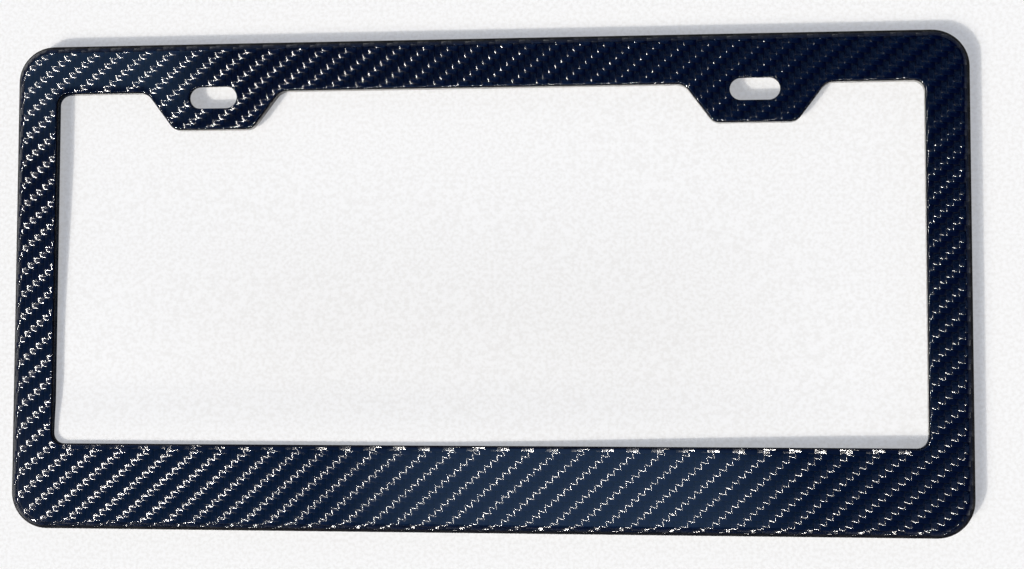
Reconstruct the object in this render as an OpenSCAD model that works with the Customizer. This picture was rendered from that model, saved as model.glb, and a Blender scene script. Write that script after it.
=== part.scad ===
// Number plate holder: a frame moulded in one piece from glossy carbon-fibre laminate.
// It lies face up: +X along the frame, +Y towards its top edge, +Z out of its face.
// The origin is at the middle of the frame's width and height, on the rim's back edge.

/* [Frame] */
// Overall width
frame_w = 313; // [290:1:340]
// Overall height
frame_h = 161; // [150:1:180]
// Depth of the outer rim, from its back edge to the face
frame_d = 8; // [6:0.5:14]
// Radius of the frame's outer corners
corner_r = 12; // [6:0.5:20]

/* [Laminate] */
// Thickness of the laminate
wall = 1.6; // [1.2:0.1:2.4]
// Outside radius of the rolled outer edge
roll_r = 3; // [2.6:0.1:3.3]
// Outside radius of the tighter rolled edge round the window
window_roll_r = 0.8; // [0.5:0.1:1.1]
// Depth of the return round the window, from the face to its trimmed edge
return_d = 3.5; // [3.4:0.1:5]

/* [Window] */
// Width of each side bar, from the outside to the window
side_bar = 14.3; // [11:0.1:24]
// Width of the top bar
top_bar = 16.5; // [14:0.1:22]
// Width of the bottom bar
bottom_bar = 28.1; // [11:0.1:36]
// Radius of the window's corners
window_r = 3.5; // [1:0.5:12]

/* [Screw slots] */
// Distance between the slots' centres
slot_pitch = 177.8; // [150:0.1:210]
// Distance from the frame's top edge down to the slots' centres
slot_drop = 18.4; // [16:0.1:22]
// Length of a slot, end to end
slot_l = 16; // [8:0.5:20]
// Width of a slot
slot_w = 7.2; // [5:0.1:8]
// Width of the break round a slot's front edge
slot_break = 0.4; // [0.1:0.1:0.8]

/* [Screw tabs] */
// Laminate below a slot, down to the tab's foot
tab_below = 7.1; // [6:0.1:12]
// Laminate beside a slot, out to the corner of the tab's foot
tab_beside = 5.2; // [4.5:0.1:12]
// Fall of a tab's sides over tab_run
tab_fall = 4; // [3:1:6]
// Run of a tab's sides over tab_fall
tab_run = 3; // [2:1:4]
// Radius of the corners at a tab's foot
tab_foot_r = 4; // [3.4:0.1:5]
// Radius of the blends from a tab's sides into the top bar
tab_blend_r = 5; // [2:0.5:8]

/* [Hidden] */

// Smoothness of the rolled edges' bends and of the slots' ends
$fn = 48;
// How far a rolled edge's strip runs on into the flat face, which covers half of it
lap = 1;
// Spare length with which a cutter runs past the face
cut = 1;
// Steps in which the flat face follows a bend
face_steps = 8;

// Edges of the window
window_x = frame_w / 2 - side_bar;
window_top = frame_h / 2 - top_bar;
window_foot = -frame_h / 2 + bottom_bar;

// Places of the slots and tabs
slot_x = slot_pitch / 2;
slot_y = frame_h / 2 - slot_drop;
tab_foot = slot_y - slot_w / 2 - tab_below;
tab_foot_half = slot_l / 2 + tab_beside;
tab_top_half = tab_foot_half + (window_top - tab_foot) * tab_run / tab_fall;

// Height of the trimmed edge of the window's return, and the foot of the slots' cutters
return_z = frame_d - return_d;
slot_cut_z = frame_d - roll_r;

// An outline is a closed list of sharp corners [x, y, radius], walked with the laminate on its left
outer_edge = [
    for (c = [[-1, -1], [1, -1], [1, 1], [-1, 1]])
        [c[0] * frame_w / 2, c[1] * frame_h / 2, corner_r]
];

window_edge = concat(
    [[-window_x, window_foot, window_r], [-window_x, window_top, window_r]],
    tab_corners(-slot_x),
    tab_corners(slot_x),
    [[window_x, window_top, window_r], [window_x, window_foot, window_r]]
);

// The four corners of the tab that hangs from the window's top edge round x
function tab_corners(x) = [
    [x - tab_top_half, window_top, tab_blend_r],
    [x - tab_foot_half, tab_foot, tab_foot_r],
    [x + tab_foot_half, tab_foot, tab_foot_r],
    [x + tab_top_half, window_top, tab_blend_r]
];

// A corner of an outline, and the ways in and out of it
function corner(edge, i) = [edge[i][0], edge[i][1]];
function last(edge, i) = (i + len(edge) - 1) % len(edge);
function next(edge, i) = (i + 1) % len(edge);
function way_in(edge, i) = heading(corner(edge, last(edge, i)), corner(edge, i));
function way_out(edge, i) = heading(corner(edge, i), corner(edge, next(edge, i)));
function heading(a, b) = atan2(b[1] - a[1], b[0] - a[0]);
function unit(angle) = [cos(angle), sin(angle)];

// Turn at a corner: above 0 the bend's centre is in the laminate, below 0 it is outside
function turn(edge, i) = (way_out(edge, i) - way_in(edge, i) + 540) % 360 - 180;
function side(edge, i) = sign(turn(edge, i));
function bend_r(edge, i) = edge[i][2];
function set_back(edge, i) = bend_r(edge, i) * tan(abs(turn(edge, i)) / 2);
function bend_centre(edge, i) =
    corner(edge, i)
    - set_back(edge, i) * unit(way_in(edge, i))
    + side(edge, i) * bend_r(edge, i) * unit(way_in(edge, i) + 90);

// Points of an outline moved into the laminate by a distance
function moved_in(edge, distance) = [
    for (i = [0 : len(edge) - 1])
        let (r = max(bend_r(edge, i) - side(edge, i) * distance, 0.01))
            for (k = [0 : face_steps])
                bend_centre(edge, i)
                - side(edge, i) * r * unit(way_in(edge, i) + 90 + turn(edge, i) * k / face_steps)
];

// Section of an edge rolled to radius r: x from the edge into the laminate, y up
module roll_section(wall_foot, r, reach) {
    translate([0, wall_foot])
        square([wall, frame_d - r - wall_foot]);
    translate([r, frame_d - r])
        intersection() {
            difference() {
                circle(r = r);
                if (r > wall)
                    circle(r = r - wall);
            }
            translate([-r, 0])
                square(r);
        }
    translate([r, frame_d - wall])
        square([reach - r, wall]);
}

// A straight run of rolled edge along -Y from the origin, with the laminate on its +X side
module roll_run(wall_foot, r, length) {
    rotate([90, 0, 0])
        linear_extrude(length)
            roll_section(wall_foot, r, r + lap);
}

// A bend of rolled edge round the origin: a full turn of it, cut to a wedge of the bend's angle
module roll_bend(wall_foot, r, bend, angle, start) {
    reach = angle > 0 ? min(r + lap, bend) : r + lap;
    arm = bend + r + lap + cut;
    intersection() {
        rotate_extrude()
            translate([bend, 0])
                mirror([angle > 0 ? 1 : 0, 0])
                    roll_section(wall_foot, r, reach);
        linear_extrude(frame_d + cut)
            polygon([
                [0, 0],
                arm * unit(start),
                arm / cos(angle / 2) * unit(start + angle / 2),
                arm * unit(start + angle)
            ]);
    }
}

// The edge rolled to radius r all along an outline
module rolled_edge(edge, wall_foot, r) {
    for (i = [0 : len(edge) - 1]) {
        j = next(edge, i);
        run_start = corner(edge, i) + set_back(edge, i) * unit(way_out(edge, i));
        run_end = corner(edge, j) - set_back(edge, j) * unit(way_in(edge, j));
        translate(run_start)
            rotate(way_out(edge, i) + 90)
                roll_run(wall_foot, r, norm(run_end - run_start));
        translate(bend_centre(edge, i))
            roll_bend(wall_foot, r, bend_r(edge, i), turn(edge, i),
                      way_in(edge, i) - side(edge, i) * 90);
    }
}

// The flat face between the outer and the window's rolled edges
module flat_face() {
    translate([0, 0, frame_d - wall])
        linear_extrude(wall)
            difference() {
                polygon(moved_in(outer_edge, roll_r + lap / 2));
                polygon(moved_in(window_edge, window_roll_r + lap / 2));
            }
}

// Half of a slot's section: x from its middle, y up through the face, flared at the front edge
module slot_section() {
    polygon([
        [0, slot_cut_z],
        [slot_w / 2, slot_cut_z],
        [slot_w / 2, frame_d - slot_break],
        [slot_w / 2 + slot_break + cut, frame_d + cut],
        [0, frame_d + cut]
    ]);
}

// Cutter of one slot: a straight middle between two half-round ends
module slot() {
    straight = slot_l - slot_w;
    translate([-straight / 2, 0, 0])
        rotate([90, 0, 90])
            linear_extrude(straight) {
                slot_section();
                mirror([1, 0])
                    slot_section();
            }
    for (end = [0, 180])
        rotate(end)
            translate([straight / 2, 0, 0])
                rotate(-90)
                    rotate_extrude(angle = 180)
                        slot_section();
}

module plate_frame() {
    color("#0a1426")
        difference() {
            union() {
                flat_face();
                rolled_edge(outer_edge, 0, roll_r);
                rolled_edge(window_edge, return_z, window_roll_r);
            }
            for (x = [-slot_x, slot_x])
                translate([x, slot_y, 0])
                    slot();
        }
}

plate_frame();
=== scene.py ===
# Number plate holder, one piece of glossy carbon-fibre laminate lying face up.
# Metres, in the CAD frame: +X along the holder, +Y to its top edge, +Z out of its face.
import math

import bpy
from mathutils import Matrix, Vector


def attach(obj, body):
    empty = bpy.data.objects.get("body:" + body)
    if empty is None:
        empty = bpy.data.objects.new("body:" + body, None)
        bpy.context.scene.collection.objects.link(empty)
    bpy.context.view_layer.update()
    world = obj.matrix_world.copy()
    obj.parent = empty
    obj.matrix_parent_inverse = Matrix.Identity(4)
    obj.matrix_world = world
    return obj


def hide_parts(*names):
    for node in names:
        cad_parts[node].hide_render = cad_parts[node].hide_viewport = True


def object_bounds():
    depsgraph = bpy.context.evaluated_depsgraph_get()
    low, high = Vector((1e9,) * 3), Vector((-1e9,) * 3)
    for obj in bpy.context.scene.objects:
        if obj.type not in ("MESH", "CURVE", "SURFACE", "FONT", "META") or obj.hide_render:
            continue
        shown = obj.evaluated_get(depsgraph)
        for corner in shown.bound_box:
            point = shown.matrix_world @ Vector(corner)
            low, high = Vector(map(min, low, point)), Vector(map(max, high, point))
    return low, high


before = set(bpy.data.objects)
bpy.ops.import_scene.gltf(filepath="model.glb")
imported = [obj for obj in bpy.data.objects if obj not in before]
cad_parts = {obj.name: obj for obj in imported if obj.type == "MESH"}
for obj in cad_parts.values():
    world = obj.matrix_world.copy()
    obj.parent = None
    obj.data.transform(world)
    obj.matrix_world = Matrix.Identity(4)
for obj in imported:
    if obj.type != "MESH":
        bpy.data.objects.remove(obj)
cadLow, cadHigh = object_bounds()
mm = 0.001


class Wire:
    # one output of a node; sums written on wires add Math nodes to the same tree
    def __init__(self, tree, socket=None):
        self.tree = tree
        self.socket = socket

    def put(self, kind, settings=None, sockets=None, out=0):
        # any node: its settings first, then the values or the wires of its sockets
        node = self.tree.nodes.new(kind)
        for name, value in (settings or {}).items():
            if name == "items":
                for _ in range(value - len(node.index_switch_items)):
                    node.index_switch_items.new()
            else:
                setattr(node, name, value)
        for key, value in (sockets or {}).items():
            for one in value if isinstance(value, list) else [value]:
                if isinstance(one, Wire):
                    self.tree.links.new(one.socket, node.inputs[key])
                else:
                    node.inputs[key].default_value = one
        return Wire(self.tree, node.outputs[out] if node.outputs else None)

    def math(self, operation, *others):
        values = dict(enumerate((self,) + others))
        return self.put("ShaderNodeMath", {"operation": operation}, values)

    def vector(self, operation, *others, out=0):
        values = dict(enumerate((self,) + others))
        return self.put("ShaderNodeVectorMath", {"operation": operation}, values, out)

    def dot(self, other):
        return self.vector("DOT_PRODUCT", other, out=1)

    def scaled(self, amount):
        return self.put("ShaderNodeVectorMath", {"operation": "SCALE"}, {0: self, "Scale": amount})

    def parts(self):
        return [self.put("ShaderNodeSeparateXYZ", {}, {0: self}, k) for k in range(3)]

    def join(self, x, y, z):
        return self.put("ShaderNodeCombineXYZ", {}, {0: x, 1: y, 2: z})

    def rise(self, low, high):
        # 0 below low, 1 above high, smooth between them
        sockets = {"Value": self, "From Min": low, "From Max": high}
        return self.put("ShaderNodeMapRange", {"interpolation_type": "SMOOTHSTEP"}, sockets)

    def between(self, low, high, soft):
        # 1 between low and high, fading over soft at both ends
        return self.rise(low - soft, low + soft) * (1 - self.rise(high - soft, high + soft))

    def pick(self, other, choice):
        # this value where choice is 0, the other where it is 1
        return self + (other - self) * choice

    def blend(self, first, second):
        # the first colour where this value is 0, the second where it is 1; a Mix node has its
        # colours at inputs 6 and 7, and their mix at output 2
        return self.put("ShaderNodeMix", {"data_type": "RGBA"}, {0: self, 6: first, 7: second}, 2)

    def floor(self):
        return self.math("FLOOR")

    def __add__(self, other):
        return self.math("ADD", other)

    __radd__ = __add__

    def __mul__(self, other):
        return self.math("MULTIPLY", other)

    __rmul__ = __mul__

    def __sub__(self, other):
        return self.math("SUBTRACT", other)

    def __rsub__(self, other):
        return self * -1 + other

    def __truediv__(self, other):
        return self.math("DIVIDE", other)

    def __mod__(self, other):
        return self.math("FLOORED_MODULO", other)

    def __pow__(self, other):
        return self.math("POWER", other)

    def __abs__(self):
        return self.math("ABSOLUTE")

    def __lt__(self, other):
        return self.math("LESS_THAN", other)

    def __gt__(self, other):
        return self.math("GREATER_THAN", other)


def newMaterial(name):
    material = bpy.data.materials.new(name)
    material.use_nodes = True
    material.node_tree.nodes.clear()
    return material, Wire(material.node_tree)


# The camera looks down on the holder, from a little right of and below its middle
view = {
    "place": Vector((69.7, -31.0, 545.9)) * mm,
    "forward": Vector((-0.1085, 0.0565, -0.9925)),
    "up": Vector((0.0042, 0.9984, 0.0564)),
    "lens": 59.06,
    "nearest": 10 * mm,
}


def placeCamera():
    right = view["forward"].cross(view["up"]).normalized()
    up = right.cross(view["forward"]).normalized()
    turn = Matrix((right, up, -view["forward"])).transposed().to_4x4()
    data = bpy.data.cameras.new("camera")
    data.lens = view["lens"]
    data.clip_start = view["nearest"]
    camera = bpy.data.objects.new("camera", data)
    camera.matrix_world = Matrix.Translation(view["place"]) @ turn
    bpy.context.scene.collection.objects.link(camera)
    bpy.context.scene.camera = camera
    print("camera placed")


# One warm sun at the lower left, in two parts: a narrow key that flashes in the fibres, and
# a wide soft one that blurs the shadows and stays out of reflections
lamps = {
    "toSun": Vector((-0.524, -0.489, 0.698)),
    "colour": (1.0, 0.96, 0.89),
    "keyStrength": 2.2,
    "keySpread": 3.6,  # degrees
    "softStrength": 2.0,
    "softSpread": 24.0,  # degrees
}


def placeLamps():
    for name in ("key", "soft"):
        data = bpy.data.lights.new(name, "SUN")
        data.energy = lamps[name + "Strength"]
        data.color = lamps["colour"]
        data.angle = math.radians(lamps[name + "Spread"])
        lamp = bpy.data.objects.new(name, data)
        lamp.rotation_euler = lamps["toSun"].to_track_quat("Z", "Y").to_euler()
        lamp.visible_glossy = name == "key"
        bpy.context.scene.collection.objects.link(lamp)
    print("lamps placed")


# What the clear coat shows: a dim blue surround, darkest above the top right corner. Over it
# lie layers, each covering the ones before. A pane is bounded by slopes, x and y over z, and
# a fade by heights, where 0 is the horizon and 1 is straight up
surround = {
    "darkSide": Vector((0.24, 0.28, 0.93)),
    "fall": 2.0,  # a higher one keeps the surround dark further from its dark side
    "overhead": (0.0, 0.001, 0.013, 1),
    "around": (0.11, 0.18, 0.30, 1),
    "dimFade": (0.10, 0.55),  # below these heights the surround is as dark as overhead
    "skyAcross": (-0.75, 0.08),
    "skyAlong": (-0.50, 0.05),
    "skySoft": 0.14,
    "sky": (0.035, 0.14, 0.35, 1),
    "patchSide": Vector((-0.078, -0.07, 1.0)),  # the pale patch that the bottom bar shows
    "patchInner": 2.0,  # degrees
    "patchOuter": 8.6,  # degrees
    "patch": (0.31, 0.59, 1.08, 1),
    "hazeAcross": (-0.60, -0.31),
    "hazeAlong": (0.155, 0.50),
    "hazeSoft": 0.03,
    "haze": (0.20, 0.40, 0.70, 1),
    "windowAcross": (-0.58, -0.44),
    "windowAlong": (-0.30, -0.03),
    "windowSoft": 0.05,
    "window": (0.80, 0.85, 1.0, 1),
    "wallAcross": (0.75, 1.2),  # walls at the right and behind, seen from the other sides
    "wallAlong": (0.6, 0.9),
    "wall": (0.19, 0.22, 0.29, 1),
    "horizonFade": (0.07, 0.26),
    "horizon": (0.38, 0.44, 0.52, 1),
    "lowest": 0.05,  # the least height that a slope is taken over
    "backdrop": (0.93, 0.93, 0.94, 1),  # for the camera alone
}


def paintSurround():
    world = bpy.data.worlds.new("surround")
    world.use_nodes = True
    world.node_tree.nodes.clear()
    start = Wire(world.node_tree)
    toward = start.put("ShaderNodeTexCoord", out="Generated").vector("NORMALIZE")
    x, y, z = toward.parts()
    height = z.math("MAXIMUM", surround["lowest"])
    across, along = x / height, y / height

    def pane(name):
        soft = surround[name + "Soft"]
        sides = across.between(*surround[name + "Across"], soft)
        return sides * along.between(*surround[name + "Along"], soft)

    edges = [math.cos(math.radians(surround[name])) for name in ("patchOuter", "patchInner")]
    behind = along.rise(*surround["wallAlong"])
    layers = {
        "overhead": 1 - z.rise(*surround["dimFade"]),
        "sky": pane("sky"),
        "patch": toward.dot(surround["patchSide"].normalized()).rise(*edges),
        "haze": pane("haze"),
        "window": pane("window"),
        "wall": behind.math("MAXIMUM", across.rise(*surround["wallAcross"])),
        "horizon": 1 - z.rise(*surround["horizonFade"]),
        "backdrop": start.put("ShaderNodeLightPath", out="Is Camera Ray"),
    }
    away = 1 - toward.dot(surround["darkSide"].normalized())
    away = away.math("MINIMUM", 1) ** surround["fall"]
    glow = away.blend(surround["overhead"], surround["around"])
    for name, share in layers.items():
        glow = share.blend(glow, surround[name])
    background = start.put("ShaderNodeBackground", {}, {"Color": glow, "Strength": 1.0})
    start.put("ShaderNodeOutputWorld", {}, {"Surface": background})
    bpy.context.scene.world = world
    bpy.context.scene.view_settings.view_transform = "Standard"
    print("surround painted")


# The floor is a soft white cloth, which swells up into the frame, most in the lower left of
# the window. The camera sees part of it as an even white, so the shadows on it are pale. It
# has a fine grain, and painted shade makes it a little greyer in the middle of the window
ground = {
    "half": 2.0,
    "swell": 4.2 * mm,
    "sink": 0.02 * mm,  # keeps the swell's outer edge below the wide floor
    "step": 3.1 * mm,
    "slack": 9 * mm,  # width of the strip inside the rim in which the cloth rises
    "fallRight": (0.7, -30 * mm, 150 * mm),  # share of the swell that is lost, and over what
    "fallUp": (0.45, -20 * mm, 50 * mm),
    "gainDown": (0.36, -30 * mm, -50 * mm),
    "colour": (0.95, 0.945, 0.93, 1),
    "white": (0.955, 0.965, 1.0, 1),
    "whitePart": 0.44,
    "grey": (0.80, 0.79, 0.78, 1),
    "grainScale": 900.0,
    "grainSpan": (0.35, 0.70),
    "grainDepth": 0.50,
    # painted shade: the cloth is drawn a little greyer in the middle of the window
    "middleShadeAcross": (-95 * mm, 90 * mm, 45 * mm),  # from, to, and over what it fades
    "middleShadeAlong": (-42 * mm, 12 * mm, 30 * mm),
    "middleShadeDepth": 0.30,
    "roughness": 0.9,
    "specular": 0.1,
}


def smoothStep(low, high, value):
    share = min(max((value - low) / (high - low), 0), 1)
    return share * share * (3 - 2 * share)


def swellHeight(x, y):
    inside = min(x - cadLow.x, cadHigh.x - x, y - cadLow.y, cadHigh.y - y) - shell["wall"]
    height = ground["swell"] * smoothStep(0, ground["slack"], inside)
    for name, place, side in (("fallRight", x, -1), ("fallUp", y, -1), ("gainDown", y, 1)):
        share, low, high = ground[name]
        height *= 1 + side * share * smoothStep(low, high, place)
    return height - ground["sink"]


def floorMesh():
    # one wide square, and over its middle a fine grid for the swell
    half = ground["half"]
    corners = ((-half, -half), (half, -half), (half, half), (-half, half))
    places = [(x, y, cadLow.z) for x, y in corners]
    faces = [(0, 1, 2, 3)]
    columns = round((cadHigh.x - cadLow.x - ground["slack"]) / ground["step"])
    rows = round((cadHigh.y - cadLow.y - ground["slack"]) / ground["step"])
    for row in range(rows + 1):
        for column in range(columns + 1):
            x = (column - columns / 2) * ground["step"]
            y = (row - rows / 2) * ground["step"]
            places.append((x, y, cadLow.z + swellHeight(x, y)))
            if row and column:
                end = len(places) - 1
                faces.append((end - columns - 2, end - columns - 1, end, end - 1))
    mesh = bpy.data.meshes.new("floor")
    mesh.from_pydata(places, [], faces)
    mesh.polygons.foreach_set("use_smooth", [True] * len(faces))
    return mesh


def paleFloor():
    material, start = newMaterial("paleFloor")
    place = start.put("ShaderNodeTexCoord", out="Object")
    sockets = {"Vector": place, "Scale": ground["grainScale"], "Detail": 2.0}
    grain = start.put("ShaderNodeTexNoise", {}, sockets).rise(*ground["grainSpan"])
    x, y, _ = place.parts()
    # painted shade greys the middle of the window; the grain is the cloth's own
    middleShade = x.between(*ground["middleShadeAcross"]) * y.between(*ground["middleShadeAlong"])
    grainAndShade = middleShade * ground["middleShadeDepth"] + grain * ground["grainDepth"]
    grainAndShade = grainAndShade.math("MINIMUM", 1)
    cloth = start.put("ShaderNodeBsdfPrincipled", {}, {
        "Base Color": grainAndShade.blend(ground["colour"], ground["grey"]),
        "Roughness": ground["roughness"],
        "Specular IOR Level": ground["specular"],
    })
    white = grainAndShade.blend(ground["white"], ground["grey"])
    white = start.put("ShaderNodeEmission", {}, {"Color": white, "Strength": 1.0})
    shown = start.put("ShaderNodeLightPath", out="Is Camera Ray") * ground["whitePart"]
    surface = start.put("ShaderNodeMixShader", {}, {0: shown, 1: cloth, 2: white})
    start.put("ShaderNodeOutputMaterial", {}, {"Surface": surface})
    return material


def layFloor():
    mesh = floorMesh()
    mesh.materials.append(paleFloor())
    floor = bpy.data.objects.new("floor", mesh)
    bpy.context.scene.collection.objects.link(floor)
    print("floor laid")


# The shell: its outlines' sharp corners, and the section that is rolled along each of them
shell = {
    "sideBar": 14.3 * mm,
    "topBar": 16.5 * mm,
    "bottomBar": 28.1 * mm,
    "cornerRadius": 12 * mm,
    "windowRadius": 3.5 * mm,
    "slotApart": 177.8 * mm,
    "slotDrop": 18.4 * mm,
    "slotLong": 16 * mm,
    "slotWide": 7.2 * mm,
    "slotRound": 0.999,  # the bends at a slot's end stay just short of each other
    "slotBreak": 0.4 * mm,
    "tabBelow": 7.1 * mm,
    "tabBeside": 5.2 * mm,
    "tabSlope": 3 / 4,  # a tab's sides run 3 for every 4 that they fall
    "tabFootRadius": 4 * mm,
    "tabBlendRadius": 5 * mm,
    "wall": 1.6 * mm,
    "roll": 3 * mm,
    "windowRoll": 0.8 * mm,
    "returnDepth": 3.5 * mm,
    "footRound": 0.3 * mm,  # at the trimmed edges
    "lap": 0.3 * mm,  # how far a rolled edge runs on into the flat face
    "bendSteps": 14,
    "rollSteps": 14,
    "merge": 0.002 * mm,
}


def outerCorners():
    left, foot, right, top = cadLow.x, cadLow.y, cadHigh.x, cadHigh.y
    corners = ((left, foot), (right, foot), (right, top), (left, top))
    return [(x, y, shell["cornerRadius"]) for x, y in corners]


def tabCorners(centre, top):
    foot = cadHigh.y - shell["slotDrop"] - shell["slotWide"] / 2 - shell["tabBelow"]
    footHalf = shell["slotLong"] / 2 + shell["tabBeside"]
    topHalf = footHalf + (top - foot) * shell["tabSlope"]
    return [
        (centre - topHalf, top, shell["tabBlendRadius"]),
        (centre - footHalf, foot, shell["tabFootRadius"]),
        (centre + footHalf, foot, shell["tabFootRadius"]),
        (centre + topHalf, top, shell["tabBlendRadius"]),
    ]


def windowCorners():
    left, right = cadLow.x + shell["sideBar"], cadHigh.x - shell["sideBar"]
    foot, top = cadLow.y + shell["bottomBar"], cadHigh.y - shell["topBar"]
    bend = shell["windowRadius"]
    half = shell["slotApart"] / 2
    corners = [(left, foot, bend), (left, top, bend)]
    corners += tabCorners(-half, top) + tabCorners(half, top)
    return corners + [(right, top, bend), (right, foot, bend)]


def slotCorners(centre):
    half, end = shell["slotWide"] / 2, shell["slotLong"] / 2
    height = cadHigh.y - shell["slotDrop"]
    corners = ((-end, -half), (-end, half), (end, half), (end, -half))
    return [(centre + x, height + y, half * shell["slotRound"]) for x, y in corners]


def outlineCurve():
    # every outline is walked with the laminate on its left; a point's radius is its bend
    data = bpy.data.curves.new("outlines", "CURVE")
    data.dimensions = "3D"
    half = shell["slotApart"] / 2
    for corners in (outerCorners(), windowCorners(), slotCorners(-half), slotCorners(half)):
        spline = data.splines.new("POLY")
        spline.points.add(len(corners) - 1)
        spline.use_cyclic_u = True
        for point, (x, y, bend) in zip(spline.points, corners):
            point.co = (x, y, 0, 1)
            point.radius = bend
    outlines = bpy.data.objects.new("outlines", data)
    bpy.context.scene.collection.objects.link(outlines)
    return outlines


def sectionCurve(start, corners, steps):
    # a section with rounded corners (distance into the laminate, height, radius); the sweep
    # turns a section's X out of the laminate and its Y down
    count = len(corners)
    index = start.put("GeometryNodeInputIndex")
    placeSockets = {"Index": index}
    bendSockets = {"Index": index}
    for k, (inward, height, bend) in enumerate(corners):
        placeSockets[str(k)] = start.join(inward, height, 0).scaled(-1)
        bendSockets[str(k)] = bend
    vectors = {"data_type": "VECTOR", "items": count}
    place = start.put("GeometryNodeIndexSwitch", vectors, placeSockets)
    bends = start.put("GeometryNodeIndexSwitch", {"data_type": "FLOAT", "items": count}, bendSockets)
    line = start.put("GeometryNodeMeshLine", {}, {"Count": count, "Offset": (0, 0, mm)})
    placed = start.put("GeometryNodeSetPosition", {}, {"Geometry": line, "Position": place})
    curve = start.put("GeometryNodeMeshToCurve", {}, {"Mesh": placed})
    return filleted(start, curve, steps, bends)


def filleted(start, curve, steps, bends):
    sockets = {"Curve": curve, "Count": steps, "Radius": bends, "Limit Radius": False}
    return start.put("GeometryNodeFilletCurve", {"mode": "POLY"}, sockets)


def stored(start, geometry, name, value, kind="FLOAT"):
    settings = {"data_type": kind, "domain": "POINT"}
    sockets = {"Geometry": geometry, "Name": name, "Value": value}
    return start.put("GeometryNodeStoreNamedAttribute", settings, sockets)


def named(start, name, kind="FLOAT"):
    return start.put("GeometryNodeInputNamedAttribute", {"data_type": kind}, {"Name": name})


def shaded(start, geometry, smooth):
    sockets = {"Geometry": geometry, "Shade Smooth": smooth}
    return start.put("GeometryNodeSetShadeSmooth", {"domain": "FACE"}, sockets)


def sweptEdge(start, outline, section, reach, back):
    # one rolled edge; cloth holds where each point would lie on the flat cloth, and inner is
    # 1 on the side of the laminate that faces away from the front, beyond the length back
    place = start.put("GeometryNodeInputPosition")
    tangent = start.put("GeometryNodeInputTangent")
    inward = start.join(0, 0, 1).vector("CROSS_PRODUCT", tangent)
    outline = stored(start, outline, "edgePlace", place, "FLOAT_VECTOR")
    outline = stored(start, outline, "edgeInward", inward, "FLOAT_VECTOR")
    outline = start.put("GeometryNodeSetCurveNormal", {"mode": "Z_UP"}, {"Curve": outline})
    along = start.put("GeometryNodeSplineParameter", out="Length")
    section = stored(start, section, "along", along)
    sockets = {"Curve": outline, "Profile Curve": section}
    mesh = start.put("GeometryNodeCurveToMesh", {}, sockets)
    length = named(start, "along")
    offset = named(start, "edgeInward", "FLOAT_VECTOR").scaled(reach - length)
    cloth = named(start, "edgePlace", "FLOAT_VECTOR").vector("ADD", offset)
    mesh = stored(start, mesh, "cloth", cloth, "FLOAT_VECTOR")
    return stored(start, mesh, "inner", length > back)


def sweptEdges(start, given):
    # the outer rim, the window's edge and the two slots' edges, in one mesh
    depth, wall, steps = given["Depth"], given["Wall"], given["Roll Steps"]
    roll, tight, cut = given["Roll"], given["Window Roll"], given["Slot Break"]
    foot, turned = given["Foot Round"], given["Return"]
    reach, slotReach = roll + given["Lap"], cut + given["Lap"]
    under = depth - wall

    def rolledSection(base, bend, innerBend):
        return sectionCurve(start, [
            (reach, depth, 0.0), (0.0, depth, bend), (0.0, base, foot),
            (wall, base, foot), (wall, under, innerBend), (reach, under, 0.0),
        ], steps)

    rim = rolledSection(0.0, roll, roll - wall)
    windowEdge = rolledSection(depth - turned, tight, foot)
    slotEdge = sectionCurve(start, [
        (slotReach, depth, 0.0), (0.0, depth, cut),
        (0.0, under, foot), (slotReach, under, 0.0),
    ], steps)
    # a round bend is shorter than a sharp one by this share of its radius
    saved = 2 - math.pi / 2
    edges = [
        (0, 0, rim, reach, reach + depth - roll * saved),
        (1, 1, windowEdge, reach, reach + turned - tight * saved),
        (2, 3, slotEdge, slotReach, slotReach + wall),
    ]
    index = start.put("GeometryNodeInputIndex")
    bends = start.put("GeometryNodeInputRadius")
    swept = []
    for first, last, section, edgeReach, back in edges:
        chosen = (index > first - 0.5) * (index < last + 0.5)
        sockets = {"Geometry": given["Outlines"], "Selection": chosen}
        outline = start.put("GeometryNodeSeparateGeometry", {"domain": "CURVE"}, sockets)
        outline = filleted(start, outline, given["Bend Steps"], bends)
        outline = start.put("GeometryNodeSetCurveRadius", {}, {"Curve": outline, "Radius": 1.0})
        swept.append(sweptEdge(start, outline, section, edgeReach, back))
    rims = start.put("GeometryNodeJoinGeometry", {}, {0: swept})
    return shaded(start, rims, True)


def flatFace(start, rims, level, side, inner):
    # fills the rims' open border on one side of the wall's middle, flat at its level; an
    # edge on the border has only 1 face
    border = start.put("GeometryNodeInputMeshEdgeNeighbors") < 1.5
    sockets = {"Mesh": rims, "Selection": border * side}
    loops = start.put("GeometryNodeMeshToCurve", {}, sockets)
    face = start.put("GeometryNodeFillCurve", {"mode": "TRIANGLES"}, {"Curve": loops})
    place = start.put("GeometryNodeInputPosition").vector("MULTIPLY", (1, 1, 0))
    place = place.vector("ADD", start.join(0, 0, level))
    face = start.put("GeometryNodeSetPosition", {}, {"Geometry": face, "Position": place})
    if inner:
        face = start.put("GeometryNodeFlipFaces", {}, {"Mesh": face})
    cloth = start.put("GeometryNodeInputPosition")
    face = stored(start, face, "cloth", cloth, "FLOAT_VECTOR")
    face = stored(start, face, "inner", inner)
    return shaded(start, face, False)


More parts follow.
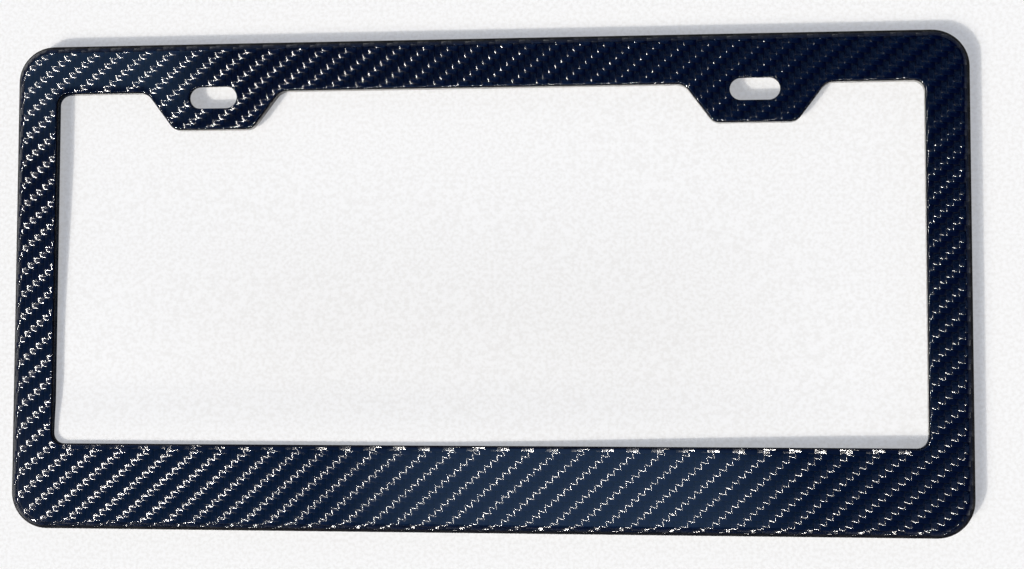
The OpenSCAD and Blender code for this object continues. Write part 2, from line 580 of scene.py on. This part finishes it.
def shellTree(material, sizes):
    tree = bpy.data.node_groups.new("rolledShell", "GeometryNodeTree")
    tree.interface.new_socket("Outlines", in_out="INPUT", socket_type="NodeSocketGeometry")
    for name, value in sizes.items():
        kind = "NodeSocketInt" if isinstance(value, int) else "NodeSocketFloat"
        tree.interface.new_socket(name, in_out="INPUT", socket_type=kind)
    tree.interface.new_socket("Shell", in_out="OUTPUT", socket_type="NodeSocketGeometry")
    start = Wire(tree)
    entry = tree.nodes.new("NodeGroupInput")
    given = {socket.name: Wire(tree, socket) for socket in entry.outputs if socket.name}
    rims = sweptEdges(start, given)
    depth, wall = given["Depth"], given["Wall"]
    middle = depth - wall / 2
    z = start.put("GeometryNodeInputPosition").parts()[2]
    front = flatFace(start, rims, depth, z > middle, 0.0)
    back = flatFace(start, rims, depth - wall, z < middle, 1.0)
    whole = start.put("GeometryNodeJoinGeometry", {}, {0: [front, back, rims]})
    sockets = {"Geometry": whole, "Distance": shell["merge"]}
    whole = start.put("GeometryNodeMergeByDistance", {}, sockets)
    whole = start.put("GeometryNodeRealizeInstances", {}, {"Geometry": whole})
    whole = start.put("GeometryNodeSetMaterial", {}, {"Geometry": whole, "Material": material})
    leave = tree.nodes.new("NodeGroupOutput")
    tree.links.new(whole.socket, leave.inputs[0])
    return tree


def rollShell(material):
    treeSizes = {
        "Depth": cadHigh.z - cadLow.z,
        "Roll": shell["roll"],
        "Window Roll": shell["windowRoll"],
        "Wall": shell["wall"],
        "Return": shell["returnDepth"],
        "Slot Break": shell["slotBreak"],
        "Foot Round": shell["footRound"],
        "Lap": shell["lap"],
        "Bend Steps": shell["bendSteps"],
        "Roll Steps": shell["rollSteps"],
    }
    outlines = outlineCurve()
    tree = shellTree(material, treeSizes)
    modifier = outlines.modifiers.new("rolledShell", "NODES")
    modifier.node_group = tree
    for item in tree.interface.items_tree:
        if item.in_out == "INPUT" and item.name in treeSizes:
            modifier[item.identifier] = treeSizes[item.name]
    graph = bpy.context.evaluated_depsgraph_get()
    mesh = bpy.data.meshes.new_from_object(outlines.evaluated_get(graph))
    mesh.name = "laminateShell"
    bpy.data.objects.remove(outlines)
    piece = bpy.data.objects.new("laminateShell", mesh)
    bpy.context.scene.collection.objects.link(piece)
    print("shell rolled:", len(mesh.vertices), "points,", len(mesh.polygons), "faces")
    return piece


# The cloth: a 2 x 2 twill, whose warp tows run along Y and whose weft tows run along X.
# Slopes of the fibres are in the cloth's own plane, and the white strokes are the key's
# reflections in them
weave = {
    # tows are counted over the flat cloth: x X + y Y + x x Bow + x y Twist + Start
    "warpX": 504.76,
    "warpY": -11.3,
    "warpBow": 22.0,
    "warpTwist": 7.4,
    "warpStart": 0.325,
    "weftX": 33.26,
    "weftY": 529.3,
    "weftBow": -5.9,
    "weftTwist": 19.9,
    "weftStart": 0.153,
    # towards the right bar the cloth is pulled askew, by these counts of tows
    "pullFrom": 105 * mm,
    "pullTo": 160 * mm,
    "warpPull": -0.52,
    "weftPull": 0.51,
    "weftPullAlong": -3.3,
    # single tows wander a little
    "wander": 0.48 * mm,
    "wanderScale": 28.0,
    # a float falls off ever more steeply to its ends, less so in the upper half, and tapers
    "dive": 0.35,
    "diveShape": 2.5,
    "calm": 0.35,
    "calmFrom": 20 * mm,
    "calmTo": 66 * mm,
    "endCurve": 0.04,
    "taper": 0.30,
    # its two edges slope evenly, from before its middle until its end dives more steeply
    "arm": 0.115,
    "armSkew": 0.03,
    "armAcross": (0.25, 0.65),
    "armAlong": (-0.5, -0.3),
    "armBlend": 0.03,
    # each fibre is round, and all of them lean; their slopes crowd a little in the middle
    "roundness": 0.12,
    "leanWarp": -0.31,
    "leanWeft": -0.32,
    "strands": 30000.0,
    "strandSpread": 0.40,
    "strandMiddle": 0.7,
    "strandEdge": 1.2,
    "ripple": 0.07,
    "rippleScale": 700.0,
    # along the foot of the window the cloth lies flatter and rises over its rolled edge
    "lipRise": 0.25,
    "lipCurl": 1.1,
    "lipFlat": 0.85,
    "lipNear": 0.1 * mm,
    "lipFar": 1.7 * mm,
    "lipSoft": 0.2 * mm,
    # on the roll at the holder's foot it keeps one slope for a while
    "shelf": 0.33,
    "shelfLow": 1.1 * mm,
    "shelfHigh": 2.4 * mm,
}


def clothNoise(start, cloth, scale, out):
    sockets = {"Vector": cloth, "Scale": scale, "Detail": 1.0}
    return start.put("ShaderNodeTexNoise", {}, sockets, out)


def twillPlace(start, cloth):
    # where a point lies: x and y on the cloth, from -1 to 1 along and across the float that
    # is on top there, and 1 where that float is a warp tow's
    drift = clothNoise(start, cloth, weave["wanderScale"], 1)
    drift = drift.vector("SUBTRACT", (0.5, 0.5, 0.5)).scaled(weave["wander"])
    x, y, _ = cloth.vector("ADD", drift).parts()
    counts = []
    for tow in ("warp", "weft"):
        bent = x * weave[tow + "Bow"] + y * weave[tow + "Twist"] + weave[tow + "X"]
        counts.append(x * bent + y * weave[tow + "Y"] + weave[tow + "Start"])
    pull = x.rise(weave["pullFrom"], weave["pullTo"])
    warp = counts[0] + pull * weave["warpPull"]
    weft = counts[1] + pull * (y * weave["weftPullAlong"] + weave["weftPull"])
    column, row = warp.floor(), weft.floor()
    # the pattern repeats after 4 tows, and moves on by 1 from each tow to the next
    alongWarp = (weft - column + 1) % 4
    alongWeft = (warp - row - 2) % 4
    warpOnTop = alongWarp < 2
    along = (1 - alongWeft).pick(1 - alongWarp, warpOnTop)
    across = ((weft - row) * 2 - 1).pick((warp - column) * 2 - 1, warpOnTop)
    return x, y, along, across, warpOnTop


def floatSlopes(start, cloth, x, y, along, across, reached, warpOnTop):
    # the fibres' slopes along and across their float
    calm = 1 - y.rise(weave["calmFrom"], weave["calmTo"]) * weave["calm"]
    dive = reached ** weave["diveShape"] * (calm * weave["dive"]) * along.math("SIGN")
    arm = abs(across).rise(*weave["armAcross"]) * along.rise(*weave["armAlong"])
    arm = arm * (across * weave["armSkew"] + weave["arm"] + 1) - 1
    slope = dive.math("SMOOTH_MAX", arm, weave["armBlend"])
    ripple = clothNoise(start, cloth, weave["rippleScale"], 0) - 0.5
    lengthwise = ripple * weave["ripple"] - slope
    strand = (y.pick(x, warpOnTop) * weave["strands"]) % 1 - 0.5
    strand = strand * (strand ** 2 * weave["strandEdge"] + weave["strandMiddle"])
    lean = warpOnTop * (weave["leanWarp"] - weave["leanWeft"]) + weave["leanWeft"]
    crosswise = across * weave["roundness"] + strand * weave["strandSpread"] + lean
    lengthwise = lengthwise - across * along * crosswise * weave["taper"]
    return lengthwise, crosswise


def clothTilt(start, x, y, lengthwise, crosswise, warpOnTop):
    # the slopes turned to X and Y, with the cloth's own slope at the two feet
    foot = cadLow.y + shell["bottomBar"]
    side = cadHigh.x - shell["sideBar"] - shell["windowRadius"]
    lip = y.between(foot - weave["lipFar"], foot - weave["lipNear"], weave["lipSoft"])
    lip = lip * (abs(x) < side)
    lengthwise = lengthwise * (1 - lip * weave["lipFlat"])
    curl = y.rise(foot - shell["windowRoll"], foot) * weave["lipCurl"]
    lip = lip * (curl + weave["lipRise"])
    shelf = 1 - y.rise(cadLow.y + weave["shelfLow"], cadLow.y + weave["shelfHigh"])
    tiltX = lengthwise.pick(crosswise, warpOnTop)
    tiltY = crosswise.pick(lengthwise, warpOnTop) - lip + shelf * weave["shelf"]
    return start.join(tiltX, tiltY, 0)


def tiltedNormal(normal, tilt):
    # the tilt turns with the surface, also where the cloth goes round a rolled edge
    upright = (normal.parts()[2] + 1).math("MAXIMUM", finish["leastUpright"])
    sway = tilt.dot(normal) / upright
    turned = tilt.vector("SUBTRACT", normal.vector("ADD", (0, 0, 1)).scaled(sway))
    return normal.vector("ADD", turned).vector("NORMALIZE")


# The finish: dark navy fibres under clear coat. Spans over the normal's height tell the flat
# face, at 1, from the rolled edges and walls, at 0, which are painted dark as shade
finish = {
    "navy": (0.0001, 0.0014, 0.0130, 1),
    # the dark of the gaps between tows, partly their resin and partly painted shade in those
    # crevices; the walls and rolled edges take it as painted shade too
    "gap": (0.0001, 0.0004, 0.0025, 1),
    "gapAcross": (0.86, 1.0),
    "gapAlong": (1.0, 1.15),
    "endShade": 0.35,  # painted shade: floats darken to their ends, where they dive
    "warpShade": 0.35,  # painted shade: warp tows are drawn darker than weft tows of the same fibre
    "sheen": 0.14,
    "specular": 0.52,
    "index": 1.5,
    "coatRoughness": 0.03,
    "flat": (0.45, 0.9),
    "leastUpright": 0.05,  # keeps the tilt finite on faces that look down
    "steepCoatCut": 0.5,  # less clear coat on the walls, which keeps them dark
    "innerWear": 0.9,  # and hardly any inside
    "shoulderShade": (0.25, 0.80, 0.1),  # where a dark matt sheet paints shade over the rolled edge
    "shoulderShadeDepth": 0.85,
}


def carbonGloss():
    material, start = newMaterial("carbonGloss")
    cloth = start.put("ShaderNodeAttribute", {"attribute_name": "cloth"}, out="Vector")
    inner = start.put("ShaderNodeAttribute", {"attribute_name": "inner"}, out="Fac")
    normal = start.put("ShaderNodeNewGeometry", out="Normal")
    upward = normal.parts()[2]
    x, y, along, across, warpOnTop = twillPlace(start, cloth)
    reached = abs(along) / (1 - abs(across) ** 3 * weave["endCurve"])
    lengthwise, crosswise = floatSlopes(start, cloth, x, y, along, across, reached, warpOnTop)
    tilt = clothTilt(start, x, y, lengthwise, crosswise, warpOnTop)

    # darker in the gaps between tows, partly their resin and partly painted shade
    gap = abs(across).rise(*finish["gapAcross"])
    gap = gap.math("MAXIMUM", reached.rise(*finish["gapAlong"]))
    # painted shade: walls and rolled edges are drawn dark and hardly reflect
    steep = 1 - upward.rise(*finish["flat"])
    dullShade = gap.math("MAXIMUM", steep)
    # painted shade: darker to the floats' ends and on warp tows, and fully dark in the gaps and on
    # the walls
    shade = reached ** 3 * finish["endShade"] + warpOnTop * finish["warpShade"]
    shade = dullShade.math("MAXIMUM", shade)
    gloss = start.put("ShaderNodeBsdfPrincipled", {}, {
        "Base Color": shade.blend(finish["navy"], finish["gap"]),
        "Metallic": dullShade,
        "Roughness": finish["sheen"],
        "Normal": tiltedNormal(normal, tilt),
        "IOR": finish["index"],
        "Specular IOR Level": finish["specular"],
        "Coat Weight": (1 - steep * finish["steepCoatCut"]) * (1 - inner * finish["innerWear"]),
        "Coat Roughness": finish["coatRoughness"],
        "Coat IOR": finish["index"],
    })
    # painted shade: a dark matt sheet over the rolled edge's shoulder
    shadeSheet = start.put("ShaderNodeBsdfDiffuse", {}, {"Color": finish["gap"]})
    shoulderShade = upward.between(*finish["shoulderShade"]) * finish["shoulderShadeDepth"]
    surface = start.put("ShaderNodeMixShader", {}, {0: shoulderShade, 1: gloss, 2: shadeSheet})
    start.put("ShaderNodeOutputMaterial", {}, {"Surface": surface})
    print("laminate finish made")
    return material


placeCamera()
placeLamps()
paintSurround()
layFloor()
holder = rollShell(carbonGloss())
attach(holder, "root")
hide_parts("plate_frame")
